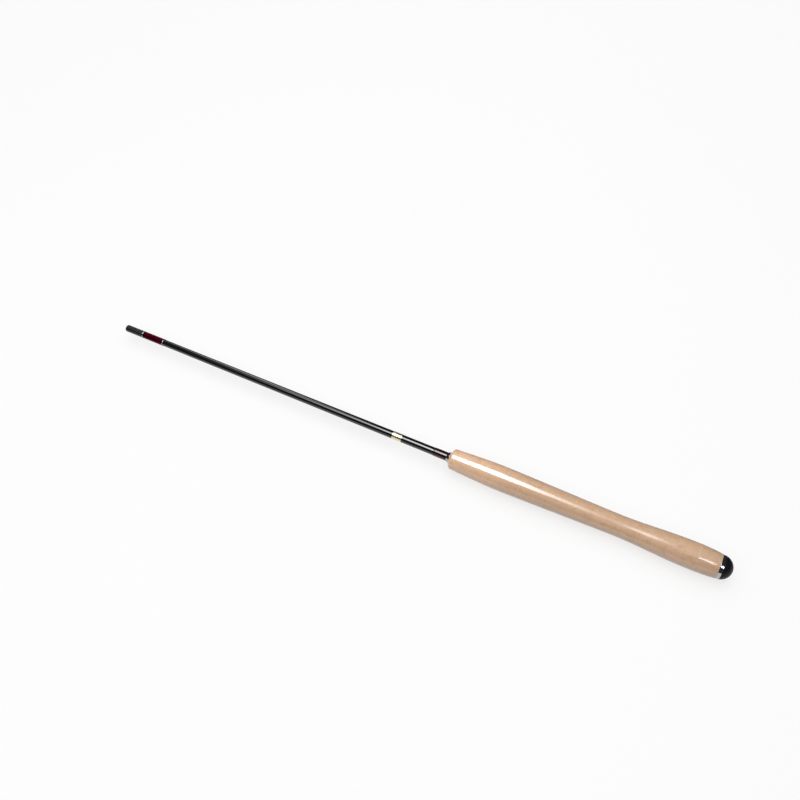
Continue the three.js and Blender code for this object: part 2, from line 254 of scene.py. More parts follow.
def fit(piece, material, body, *nodes):
    """Gives a finished piece its material, and puts it in the place of its CAD nodes on their body."""
    piece.data.materials.append(material)
    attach(piece, body)
    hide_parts(*nodes)
    return piece


def blank_radius(station):
    """Outer radius of the butt section: a straight taper from its mouth to its rear end."""
    share = (np.asarray(station) - BLANK_FRONT) / (BLANK_REAR - BLANK_FRONT)
    front = sizes().blank_front_radius
    return front + (BLANK_REAR_RADIUS - front) * share


def passed(value, start, end):
    """How much of the way from start to end a value has gone, held between 0 and 1."""
    return np.clip((value - start) / (end - start), 0, 1)


def quarter_wave(share):
    """Rises from 0 to 1 as the first quarter of a sine wave, steep at first and level at the end."""
    return np.sin(math.pi / 2 * share)


def half_wave(share):
    """Rises from 0 to 1 as half a cosine wave, level at both ends."""
    return (1 - np.cos(math.pi * share)) / 2


def helix(along, around, pitch):
    """Phase of a right-handed helix on the grid, from 0 to 1 in one pitch: along / pitch - angle / turn."""
    phase = np.asarray(along)[:, None] / pitch - np.arange(around)[None, :] / around
    return phase % 1


def valley(place, around, pitch):
    """How deep between round threads a point of the grid lies, 0 on a crest and 1 between two.

    It is 1 - sqrt(1 - swing^2), where swing goes from -1 to 1 in one pitch of the helix.
    """
    swing = 2 * helix(place, around, pitch) - 1
    return 1 - np.sqrt(np.maximum(0, 1 - swing**2))


def edge_drop(place, reach, soft):
    """How far a stretch from 0 to reach lies below its crown, as both its edges are rounded.

    It is soft - sqrt(soft^2 - (soft - d)^2) at a distance d from the nearer edge, up to d = soft.
    """
    nearest = np.minimum(place, reach - place)
    drop = soft - np.sqrt(np.maximum(0, soft**2 - (soft - nearest) ** 2))
    return np.where(nearest < soft, drop, 0)


def screw(front, rear, radius, depth, around, width):
    """Rows of a thread along X: (stations, grid of radii).

    The radius is the crest less depth x groove. Groove is a trapezium wave of the helix's phase,
    width - 6 |phase - 0.5| held between 0 and 1, and it runs out over half a pitch at both ends.
    The helix is fixed to the frame, so that the thread on the cap and the one in the insert mesh, and
    stay meshed as the cap turns and travels.
    """
    pitch = sizes().screw_pitch
    rows_per_pitch, flank, runout_share = 16, 6.0, 0.5
    place = np.linspace(front, rear, int((rear - front) / pitch * rows_per_pitch) + 1)
    groove = np.clip(width - flank * np.abs(helix(place, around, pitch) - 0.5), 0, 1)
    runout = np.clip(np.minimum(place - front, rear - place) / (runout_share * pitch), 0, 1)[:, None]
    return place, radius - depth * groove * runout


def sleeve(name, node, material, thickness, swell=0.0, relief=0.0, pitch=None, rows=24):
    """A sleeve on the butt section's taper with rounded edges, such as a winding or a foil.

    The outer radius is blank + glue line + thickness + swell x sin(pi x share) - relief x valley, where
    share runs from 0 to 1 along the sleeve.
    """
    front, rear, _, _ = ends(node)
    reach = rear - front
    around = sizes().around
    widest_round, rows_in_round, nanometres = 0.07 * MM, 5, 9
    soft = min(widest_round, (thickness + swell) / 2)
    corner = soft * (1 - np.cos(np.linspace(0, math.pi / 2, rows_in_round)))
    place = np.concatenate([corner, np.linspace(0, reach, rows + 2)[1:-1], (reach - corner)[::-1]])
    place = np.unique(np.round(place, nanometres))
    inner = blank_radius(front + place) + sizes().glue_line
    crown = inner + thickness + swell * np.sin(math.pi * (place / reach)) - edge_drop(place, reach, soft)
    outer = crown[:, None] - relief * valley(place, around, pitch or reach)
    inside = np.broadcast_to(inner[[-1, 0], None], (2, around))
    piece = revolve(name, front, np.append(place, [reach, 0]), np.vstack([outer, inside]), around)
    return fit(piece, material, "butt", node)


# Materials


def fill(socket, value):
    """Links a socket to an output, or to a node's first output, or gives it a value."""
    if isinstance(value, bpy.types.Node):
        value = next(output for output in value.outputs if output.enabled)
    if isinstance(value, bpy.types.NodeSocket):
        socket.id_data.links.new(value, socket)
    else:
        socket.default_value = value


def add(tree, kind, *inputs, stops=(), **settings):
    """Adds a shader node and returns it.

    Inputs go to its sockets in their order, as in a MapRange's value, old low and high, and new low and
    high. A setting whose name starts with a capital goes to the socket of that name, and any other is
    the node's own. Stops of (place, colour) fill a colour ramp.
    """
    made = tree.nodes.new("ShaderNode" + kind)
    for name, value in settings.items():
        if name[0].islower():
            setattr(made, name, value)
    for socket, value in zip([socket for socket in made.inputs if socket.enabled], inputs):
        fill(socket, value)
    for name, value in settings.items():
        if name[0].isupper():
            fill(made.inputs[name], value)
    if stops:
        elements = made.color_ramp.elements
        for element, (place, tint) in ((elements[0], stops[0]), (elements[1], stops[-1])):
            element.position = place
            element.color = tint
        for place, tint in stops[1:-1]:
            elements.new(place).color = tint
    return made


def finish(name, slot, settings):
    """A new material with a Principled shader, its node tree, its shader and its object coordinates."""
    material = bpy.data.materials.new(name)
    material.use_nodes = True
    material["slot"] = slot
    tree = material.node_tree
    shader = next(made for made in tree.nodes if made.type == "BSDF_PRINCIPLED")
    for socket, value in settings.items():
        shader.inputs[socket].default_value = value
    return material, tree, shader, add(tree, "TexCoord").outputs["Object"]


def coat(roughness, ior=1.5, weight=1.0):
    """Settings of a clear coat, such as varnish or lacquer."""
    return {"Coat Weight": weight, "Coat Roughness": roughness, "Coat IOR": ior}


def tinted(base, factor):
    """A colour made lighter or darker."""
    return tuple(min(1, part * factor) for part in base[:3]) + (1.0,)


def grain(tree, place, size, detail=3.0, stretch=(1, 1, 1)):
    """Noise whose features are about size millimetres, longer along an axis whose stretch is over 1."""
    mapped = add(tree, "Mapping", place, Scale=tuple(1 / part for part in stretch))
    return add(tree, "TexNoise", mapped, 1 / (size * MM), detail)


def spiral(tree, place, pitch):
    """How far a point lies from the middle of a turn, 0 to 0.5, of a right-handed helix about the axis.

    The helix's phase is x / pitch - angle / turn, and the pitch is in millimetres.
    """
    split = add(tree, "SeparateXYZ", place).outputs
    height = add(tree, "Math", split["Z"], AXIS_HEIGHT, operation="SUBTRACT")
    angle = add(tree, "Math", height, split["Y"], operation="ARCTAN2")
    turn = add(tree, "Math", angle, TURN, operation="DIVIDE")
    travel = add(tree, "Math", split["X"], pitch * MM, operation="DIVIDE")
    phase = add(tree, "Math", add(tree, "Math", travel, turn, operation="SUBTRACT"), operation="FRACT")
    return add(tree, "Math", add(tree, "Math", phase, 0.5, operation="SUBTRACT"), operation="ABSOLUTE")


def varnished_cork(name, varnish_roughness):
    """Natural cork rings, turned and sanded, under clear varnish.

    The varnish gives a hard highlight over a warm, mottled ground with short pores. Each ring is cut
    from its own place in the bark, so tone and pattern change from ring to ring. The front of the grip
    is also painted paler, as painted light.
    """
    settings = {
        "Roughness": 0.6,
        "Specular IOR Level": 0.5,
        "Sheen Weight": 0.5,
        "Sheen Tint": linear("#E2E2FF"),
        "Sheen Roughness": 0.35,
        **coat(varnish_roughness, 1.78),
    }
    material, tree, shader, place = finish(name, "varnished_cork", settings)
    tones = colours()
    last_joint = RINGS - 1
    # station counts the rings from the grip's front face, and each ring has its own part of the pattern
    setback = add(tree, "Math", add(tree, "SeparateXYZ", place).outputs["X"], GRIP_FRONT, operation="SUBTRACT")
    station = add(tree, "Math", setback, RING_PITCH, operation="DIVIDE")
    number = add(tree, "Math", station, operation="FLOOR")
    chance = add(tree, "TexWhiteNoise", number, noise_dimensions="1D")
    shifted = add(tree, "VectorMath", place, chance.outputs["Color"], operation="ADD")
    mottle = grain(tree, shifted, size=3.0, detail=4.0, stretch=(1.6, 1, 1))
    stops = ((0.25, tones.cork_dark), (0.48, tones.cork), (0.75, tinted(tones.cork, 1.06)))
    ground = add(tree, "ValToRGB", mottle, stops=stops)
    speckle = grain(tree, shifted, size=0.55, detail=2.0, stretch=(2.2, 1, 1))
    share = add(tree, "MapRange", speckle, 0.35, 0.6, 0.3, 0.0)
    ground = add(tree, "Mix", share, ground, tones.cork_dark, data_type="RGBA")
    # annual growth shows as faint bands about 2 mm apart, in a plane of the ring's own
    band_scale, band_bend = 1 / (2.1 * MM) / 3, {"Distortion": 6.0, "Detail": 2.0, "Detail Scale": 1.3}
    bands = add(tree, "TexWave", shifted, band_scale, bands_direction="DIAGONAL", **band_bend)
    share = add(tree, "MapRange", bands.outputs["Fac"], 0.55, 0.95, 0.0, 0.14)
    ground = add(tree, "Mix", share, ground, tones.cork_dark, data_type="RGBA")
    pore = add(tree, "Attribute", attribute_name="pore").outputs["Fac"]
    share = add(tree, "MapRange", pore, 0.15, 0.75, 0.0, 0.5)
    ground = add(tree, "Mix", share, ground, tones.cork_pore, data_type="RGBA")
    # no two rings have quite one tone and the last one is darker, while the paler front rings are painted light
    tone = add(tree, "MapRange", chance, 0.0, 1.0, 0.98, 1.02)
    # the first step is painted light, which makes the front of the grip paler as if the lamp lit it more; the
    # second darkens the last ring
    for painted_light_and_last_ring_step in ((1.0, 6.0, 1.4, 1.09), (last_joint, last_joint + 0.01, 1.0, 0.94)):
        tone = add(tree, "Math", tone, add(tree, "MapRange", station, *painted_light_and_last_ring_step), operation="MULTIPLY")
    tone = add(tree, "CombineColor", tone, tone, tone)
    ground = add(tree, "Mix", 1.0, ground, tone, data_type="RGBA", blend_type="MULTIPLY")
    # a thin brown line of glue at each joint
    fraction = add(tree, "Math", station, operation="FRACT")
    ahead = add(tree, "Math", 1.0, fraction, operation="SUBTRACT")
    edge = add(tree, "Math", fraction, ahead, operation="MINIMUM")
    share = add(tree, "MapRange", edge, 0.0, 0.012, 0.32, 0.0)
    ground = add(tree, "Mix", share, ground, tones.cork_pore, data_type="RGBA")
    # towards the last joint, the end of the ring before it turns paler, up to 0.4 of a pale cork colour
    share = add(tree, "MapRange", station, last_joint - 0.14, last_joint - 0.02, 0.0, 0.4)
    before = add(tree, "Math", station, last_joint, operation="LESS_THAN")
    share = add(tree, "Math", share, before, operation="MULTIPLY")
    ground = add(tree, "Mix", share, ground, tinted(tones.cork, 1.35), data_type="RGBA")
    fill(shader.inputs["Base Color"], ground)
    fill(shader.inputs["Normal"], add(tree, "Bump", Height=speckle, Distance=0.03 * MM))
    # marks of the turning, about 1.4 mm apart, show through the thin varnish of the grip's rear half
    marks = grain(tree, place, size=1.4, detail=2.0, stretch=(1, 14, 14))
    marks = add(tree, "Math", marks, add(tree, "MapRange", station, 6.0, 10.0, 0.0, 1.0), operation="MULTIPLY")
    peel = add(tree, "Math", grain(tree, place, size=1.6, detail=1.0), 0.4, marks, operation="MULTIPLY_ADD")
    fill(shader.inputs["Coat Normal"], add(tree, "Bump", Height=peel, Distance=0.012 * MM))
    return material


def painted_carbon():
    """Carbon tube, ground, painted black and clear-coated: a hard thin highlight on near black."""
    settings = {"Roughness": 0.5, "Specular IOR Level": 0.05, **coat(0.055, 1.62)}
    material, tree, shader, place = finish("painted carbon", "carbon_blank", settings)
    tones = colours()
    # the fibres run along the tube; real ones are 7 microns, drawn here as streaks of 0.3 mm
    fibre = grain(tree, place, size=0.3, detail=2.0, stretch=(40, 1, 1))
    stops = ((0.45, tones.carbon), (0.8, tones.carbon_sheen))
    fill(shader.inputs["Base Color"], add(tree, "ValToRGB", fibre, stops=stops))
    fill(shader.inputs["Normal"], add(tree, "Bump", Height=fibre, Distance=0.004 * MM))
    # the clear coat has settled unevenly, in waves of some millimetres
    waves = grain(tree, place, size=2.5, detail=1.0, stretch=(4, 1, 1))
    fill(shader.inputs["Coat Normal"], add(tree, "Bump", Height=waves, Distance=0.0015 * MM))
    return material


def bare_carbon():
    """Carbon tube as it leaves the oven, lightly polished: the shrink tape left a faint spiral on it."""
    settings = {"Roughness": 0.3, "IOR": 1.55, **coat(0.16, weight=0.6)}
    material, tree, shader, place = finish("bare carbon", "inner_carbon", settings)
    tones = colours()
    # streaks of 0.25 mm for fibres of 7 microns, and a ridge between two turns of the tape
    fibre = grain(tree, place, size=0.25, detail=2.0, stretch=(60, 1, 1))
    tape = add(tree, "MapRange", spiral(tree, place, pitch=1.6), 0.38, 0.5, 0.0, 1.0)
    stops = ((0.4, tinted(tones.carbon, 1.4)), (0.8, tinted(tones.carbon_sheen, 1.5)))
    ground = add(tree, "ValToRGB", fibre, stops=stops)
    share = add(tree, "Math", tape, 0.35, operation="MULTIPLY")
    fill(shader.inputs["Base Color"], add(tree, "Mix", share, ground, tones.carbon, data_type="RGBA"))
    height = add(tree, "Math", fibre, 0.15, tape, operation="MULTIPLY_ADD")
    fill(shader.inputs["Normal"], add(tree, "Bump", Height=height, Distance=0.012 * MM))
    return material


def lacquered_thread(name, slot, tint, settings, painted_crest_shading, pitch, depth):
    """Wound nylon thread under lacquer, with a painted highlight on each crest and painted shade between the
    threads.
    """
    material, tree, shader, place = finish(name, slot, settings)
    # the crests are painted lighter and the hollows between threads darker: painted highlight and painted
    # shade, with the thread's uneven tone mixed in
    crest = add(tree, "MapRange", spiral(tree, place, pitch), 0.0, 0.5, 1.0, 0.0)
    uneven = grain(tree, place, size=0.9, detail=2.0, stretch=(0.5, 3, 3))
    light = add(tree, "Math", add(tree, "Math", crest, uneven, operation="ADD"), 0.5, operation="MULTIPLY")
    stops = ((0.25, tinted(tint, 1 - painted_crest_shading)), (0.5, tint), (0.75, tinted(tint, 1 + painted_crest_shading)))
    fill(shader.inputs["Base Color"], add(tree, "ValToRGB", light, stops=stops))
    fill(shader.inputs["Normal"], add(tree, "Bump", Height=crest, Distance=depth * MM))
    return material


def crimson_thread():
    """Crimson nylon thread under a thin lacquer that still shows each turn."""
    settings = {"Roughness": 0.36, "Metallic": 1.0, **coat(0.06, 1.4, weight=0.05)}
    look = {"painted_crest_shading": 0.35, "pitch": 0.25, "depth": 0.015}
    return lacquered_thread("crimson thread", "crimson_thread", colours().crimson, settings, **look)


def maroon_thread():
    """Maroon nylon thread deep in built-up varnish: dark, with a glassy highlight."""
    settings = {"Roughness": 0.3, "Specular IOR Level": 0.3, "Specular Tint": linear("#D08890"), **coat(0.05)}
    look = {"painted_crest_shading": 0.45, "pitch": 0.3, "depth": 0.01}
    return lacquered_thread("maroon thread", "maroon_thread", colours().maroon, settings, **look)


def black_thread():
    """Black nylon thread under lacquer."""
    settings = {"Roughness": 0.5, "Specular IOR Level": 0.05, **coat(0.06)}
    look = {"painted_crest_shading": 0.4, "pitch": 0.25, "depth": 0.012}
    return lacquered_thread("black thread", "black_thread", linear("#121214"), settings, **look)


def silver_thread():
    """Metallised thread: small mirrors that catch the light, under lacquer."""
    settings = {"Roughness": 0.26, "Metallic": 1.0, **coat(0.1, weight=0.15)}
    look = {"painted_crest_shading": 0.25, "pitch": 0.22, "depth": 0.02}
    return lacquered_thread("silver thread", "silver_thread", colours().silver, settings, **look)


def gold_foil():
    """Hot-stamped gold foil under the blank's clear coat: pale metal, slightly uneven."""
    material, tree, shader, place = finish("gold foil", "gold_foil", {"Metallic": 1.0, **coat(0.05)})
    gold = colours().gold
    cloud = grain(tree, place, size=1.2)
    stops = ((0.3, tinted(gold, 0.82)), (0.7, gold))
    fill(shader.inputs["Base Color"], add(tree, "ValToRGB", cloud, stops=stops))
    fill(shader.inputs["Roughness"], add(tree, "MapRange", cloud, 0.3, 0.7, 0.34, 0.24))
    dimple = grain(tree, place, size=0.4, detail=2.0)
    fill(shader.inputs["Normal"], add(tree, "Bump", Height=dimple, Distance=0.004 * MM))
    return material


def turned_metal(name, slot, tint, rough, mark, run, depth):
    """Turned metal, with fine tool marks round it and a little smearing in the polish.

    A mark is so many millimetres wide, and runs round the piece run times as far.
    """
    material, tree, shader, place = finish(name, slot, {"Metallic": 1.0})
    marks = grain(tree, place, mark, detail=2.0, stretch=(1, run, run))
    smear = grain(tree, place, size=2.0, detail=2.0)
    stops = ((0.3, tinted(tint, 0.88)), (0.7, tint))
    fill(shader.inputs["Base Color"], add(tree, "ValToRGB", smear, stops=stops))
    fill(shader.inputs["Roughness"], add(tree, "MapRange", smear, 0.3, 0.7, rough * 1.3, rough * 0.8))
    fill(shader.inputs["Normal"], add(tree, "Bump", Height=marks, Distance=depth * MM))
    return material


def polished_steel():
    """Turned and polished stainless steel: a near mirror, whose marks hardly show."""
    look = {"rough": 0.1, "mark": 0.15, "run": 12, "depth": 0.001}
    return turned_metal("polished steel", "polished_steel", colours().steel, **look)


def turned_aluminium():
    """Aluminium as it leaves the lathe: satin, with tool marks round it."""
    look = {"rough": 0.32, "mark": 0.12, "run": 15, "depth": 0.006}
    return turned_metal("turned aluminium", "turned_aluminium", colours().aluminium, **look)


def moulded(name, slot, tint, rough, pebble, depth, shine=0.5):
    """A moulded rubber or plastic, whose mould was blasted to a fine even texture."""
    material, tree, shader, place = finish(name, slot, {"Specular IOR Level": shine})
    cloud = grain(tree, place, size=2.5)
    texture = grain(tree, place, pebble, detail=2.0)
    stops = ((0.3, tinted(tint, 0.86)), (0.7, tinted(tint, 1.1)))
    fill(shader.inputs["Base Color"], add(tree, "ValToRGB", cloud, stops=stops))
    rougher = min(1.0, rough * 1.12)
    fill(shader.inputs["Roughness"], add(tree, "MapRange", texture, 0.3, 0.7, rough * 0.88, rougher))
    fill(shader.inputs["Normal"], add(tree, "Bump", Height=texture, Distance=depth * MM))
    return material


def plug_rubber():
    """Moulded nitrile rubber: dull dark grey with a fine tooth."""
    return moulded("plug rubber", "plug_rubber", colours().plug, rough=0.38, pebble=0.2, depth=0.008)


def cap_rubber():
    """Hard moulded rubber, rubbed smooth by the hand: satin black."""
    return moulded("cap rubber", "cap_rubber", colours().cap, rough=0.36, pebble=0.35, depth=0.006, shine=0.12)


def seal_rubber():
    """Extruded rubber cord: dull black."""
    return moulded("seal rubber", "seal_rubber", linear("#111112"), rough=0.6, pebble=0.15, depth=0.01)


def cushion_foam():
    """Closed-cell foam sheet: dull, with open cells at its cut faces."""
    material, tree, shader, place = finish("cushion foam", "cushion_foam", {"Roughness": 0.92})
    cell, depth, tint = 0.35, 0.12, linear("#222225")
    cells = add(tree, "TexVoronoi", place, 1 / (cell * MM))
    # the cells are darker towards their hollows, which is painted shade; the same field gives their bump
    stops = ((0.1, tinted(tint, 0.5)), (0.6, tinted(tint, 1.2)))
    fill(shader.inputs["Base Color"], add(tree, "ValToRGB", cells, stops=stops))
    fill(shader.inputs["Normal"], add(tree, "Bump", Height=cells, Distance=depth * MM))
    return material


# Operators, one for each piece or group of like pieces


class TENKARA_OT_top_plug(bpy.types.Operator):
    """Adds the plug: a round-nosed head, and a stem whose three soft ribs grip the mouth"""

    bl_idname = "tenkara.top_plug"
    bl_label = "Top plug"

    def execute(self, context):
        front, rear, head, _ = (value / MM for value in ends("top_plug"))
        reach = rear - front
        neck, stem, rib, bore, bore_floor = 18.8, 2.42, 2.72, 1.2, 6
        rib_pitch, rib_width, last_rib = 5.0, 0.72, 3.4
        nose_round, head_round, fillet, tail_round, lip_round = 1.1, 0.4, 0.15, 0.6, 0.1
        # a rib is half a wave, rib_width of a pitch wide, and the first is one pitch behind the neck
        place = np.linspace(neck + 0.3, reach - 1.0, 120)
        pitches = (place - neck) / rib_pitch
        nearest = np.round(pitches)
        bulge = np.maximum(0, np.cos(math.pi * (pitches - nearest) / rib_width))
        bulge = np.where((nearest >= 1) & (pitches < last_rib), bulge, 0)
        shape = outline(
            (0, 0),
            rounded(nose_round, head - nose_round, nose_round, 180, 90, 10),
            rounded(neck - head_round, head - head_round, head_round, 90, 0),
            (neck, stem + fillet),
            rounded(neck + fillet, stem + fillet, fillet, 180, 270),
            np.column_stack([place, stem + (rib - stem) * bulge]),
            rounded(reach - tail_round, stem - tail_round, tail_round, 90, 0),
            rounded(reach - lip_round, bore + lip_round, lip_round, 0, -90),
            (bore_floor, bore),
            (bore_floor, 0),
        )
        around = sizes().around
        along, radius = shape.T
        # flash of the mould's parting line, a thin ridge on both sides of the head's straight part
        flash_height, clear_of_neck, clear_of_nose = 0.035, 0.5, 0.9
        flash = np.zeros(around)
        flash[[0, around // 2]] = flash_height * MM
        head_rows = (along < (neck - clear_of_neck) * MM) & (radius > (head - clear_of_nose) * MM)
        grid = radius[:, None] + head_rows[:, None] * flash
        piece = revolve("plug_moulding", front * MM, along, grid, around)
        fit(piece, plug_rubber(), "plug", "top_plug")
        return {"FINISHED"}


class TENKARA_OT_butt_section(bpy.types.Operator):
    """Adds the outer section of the blank, one straight taper with rounded rims"""

    bl_idname = "tenkara.butt_section"
    bl_label = "Butt section"

    def execute(self, context):
        reach = (BLANK_REAR - BLANK_FRONT) / MM
        front, rear = sizes().blank_front_radius / MM, BLANK_REAR_RADIUS / MM
        wall, rim = sizes().blank_wall / MM, 0.12
        shape = outline(
            rounded(rim, front - rim, rim, 180, 90, 4),
            rounded(reach - rim, rear - rim, rim, 90, 0, 4),
            (reach, rear - wall),
            (0, front - wall),
        )
        piece = revolve("butt_blank", BLANK_FRONT, shape[:, 0], shape[:, 1], sizes().around)
        fit(piece, painted_carbon(), "butt", "butt_section")
        return {"FINISHED"}


class TENKARA_OT_nested_sections(bpy.types.Operator):
    """Adds the five hollow sections in the nest, each with a seat at its rear that jams in the next mouth"""

    bl_idname = "tenkara.nested_sections"
    bl_label = "Nested sections"

    # taper is how much thinner the front end is, in diameter, and the seat tapers half as steeply
    tapers = {"section_6": 0.42, "section_5": 0.35, "section_4": 0.29, "section_3": 0.28, "section_2": 0.22}
    walls = {"section_6": 0.34, "section_5": 0.31, "section_4": 0.28, "section_3": 0.25, "section_2": 0.2}
    seat, rim = 50.0, 0.08

    def execute(self, context):
        material = bare_carbon()
        seat, rim = self.seat, self.rim
        for node, taper in self.tapers.items():
            front, rear, wide, _ = (value / MM for value in ends(node))
            reach, wall = rear - front, self.walls[node]
            mouth = wide - taper / 2
            drop = taper / 2 * seat / reach / 2
            shape = outline(
                rounded(rim, mouth - rim, rim, 180, 90, 4),
                (reach - seat, wide - drop),
                rounded(reach - rim, wide - rim, rim, 90, 0, 4),
                (reach, wide - wall),
                (reach - seat, wide - drop - wall),
                (0, mouth - wall),
            )
            piece = revolve("blank_" + node, front * MM, shape[:, 0], shape[:, 1], sizes().around)
            fit(piece, material, node, node)
        return {"FINISHED"}


class TENKARA_OT_tip(bpy.types.Operator):
    """Adds the solid tip section and the wound collar at its front end"""

    bl_idname = "tenkara.tip"
    bl_label = "Tip section and collar"

    def execute(self, context):
        around = sizes().around // 2
        front, rear, wide, _ = (value / MM for value in ends("tip_section"))
        reach, taper, nose_round, heel_round = rear - front, 0.34, 0.15, 0.1
        narrow = wide - taper / 2
        shape = outline(
            (0, 0),
            rounded(nose_round, narrow - nose_round, nose_round, 180, 90, 4),
            rounded(reach - heel_round, wide - heel_round, heel_round, 90, 0, 4),
            (reach, 0),
        )
        material = bpy.data.materials.get("bare carbon") or bare_carbon()
        tip = revolve("tip_rod", front * MM, shape[:, 0], shape[:, 1], around)
        fit(tip, material, "tip", "tip_section")

        # the collar's bore is a glue line wider than the tip section is under the collar
        under_collar = 4.5
        bore = (narrow + taper / 2 * under_collar / reach) * MM + sizes().glue_line
        pitch, depth, soft, rows = 0.25 * MM, 0.03 * MM, 0.15 * MM, 121
        front, rear, outer, _ = ends("tip_collar")
        place = np.linspace(0, rear - front, rows)
        crown = outer - edge_drop(place, rear - front, soft)
        grid = crown[:, None] - depth * valley(place, around, pitch)
        grid = np.vstack([grid, np.full((2, around), bore)])
        collar = revolve("tip_winding", front, np.append(place, [rear - front, 0]), grid, around)
        fit(collar, black_thread(), "tip", "tip_collar")
        return {"FINISHED"}


class TENKARA_OT_mouth_winding(bpy.types.Operator):
    """Adds the crimson winding at the mouth and the silver trims at both its ends"""

    bl_idname = "tenkara.mouth_winding"
    bl_label = "Mouth winding"

    def execute(self, context):
        silver = silver_thread()
        coarse = {"relief": 0.045 * MM, "pitch": 0.22 * MM, "rows": 60}
        for node, name in (("mouth_trim_front", "silver_trim_front"), ("mouth_trim_rear", "silver_trim_rear")):
            sleeve(name, node, silver, 0.17 * MM, **coarse)
        # a thread of 0.25 mm, a little coarser than the real one, with seven rows of the grid a turn
        detail = sizes()
        front, rear, _, _ = ends("mouth_wrap")
        fine = {"relief": detail.thread_relief, "pitch": detail.thread_pitch}
        fine["rows"] = int((rear - front) / detail.thread_pitch * 7)
        sleeve("crimson_winding", "mouth_wrap", crimson_thread(), 0.12 * MM, **fine)
        return {"FINISHED"}


class TENKARA_OT_gold_band(bpy.types.Operator):
    """Adds the gold foil band on the blank"""

    bl_idname = "tenkara.gold_band"
    bl_label = "Gold band"

    def execute(self, context):
        sleeve("gold_foil_band", "gold_band", gold_foil(), 0.06 * MM)
        return {"FINISHED"}


class TENKARA_OT_rear_winding(bpy.types.Operator):
    """Adds the barrel-shaped maroon winding in front of the grip, and its thin black trim"""

    bl_idname = "tenkara.rear_winding"
    bl_label = "Rear winding"

    def execute(self, context):
        trim = {"relief": 0.03 * MM, "pitch": 0.25 * MM, "rows": 40}
        sleeve("black_trim", "rear_trim", black_thread(), 0.12 * MM, **trim)
        barrel = {"swell": 0.08 * MM, "relief": 0.002 * MM, "pitch": 0.3 * MM, "rows": 320}
        sleeve("maroon_winding", "rear_wrap", maroon_thread(), WINDING_EDGE, **barrel)
        return {"FINISHED"}


class TENKARA_OT_winding_check(bpy.types.Operator):
    """Adds the flared ring between the winding and the cork"""

    bl_idname = "tenkara.winding_check"
    bl_label = "Winding check"

    def execute(self, context):
        front, rear, cork, _ = (value / MM for value in ends("winding_check"))
        reach, rim, soft, chamfer = rear - front, 0.3, 0.12, 0.1
        # the collar's wall stands proud of the winding's edge, and the rim ends a little inside the cork
        wall, inset = 0.3, 0.4
        glue = sizes().glue_line / MM
        bore = blank_radius(rear * MM) / MM + glue
        narrow = blank_radius(front * MM) / MM + glue + WINDING_EDGE / MM + wall
        wide = cork - inset
        shape = outline(
            (0, bore + chamfer),
            rounded(soft, narrow - soft, soft, 180, 90, 4),
            rounded(reach - rim + soft, wide - soft, soft, 120, 90, 3),
            rounded(reach - soft, wide - soft, soft, 90, 0, 4),
            (reach, bore),
            (chamfer, bore),
        )
        piece = revolve("flared_check", front * MM, shape[:, 0], shape[:, 1], sizes().around_grip)
        fit(piece, polished_steel(), "butt", "winding_check")
        return {"FINISHED"}


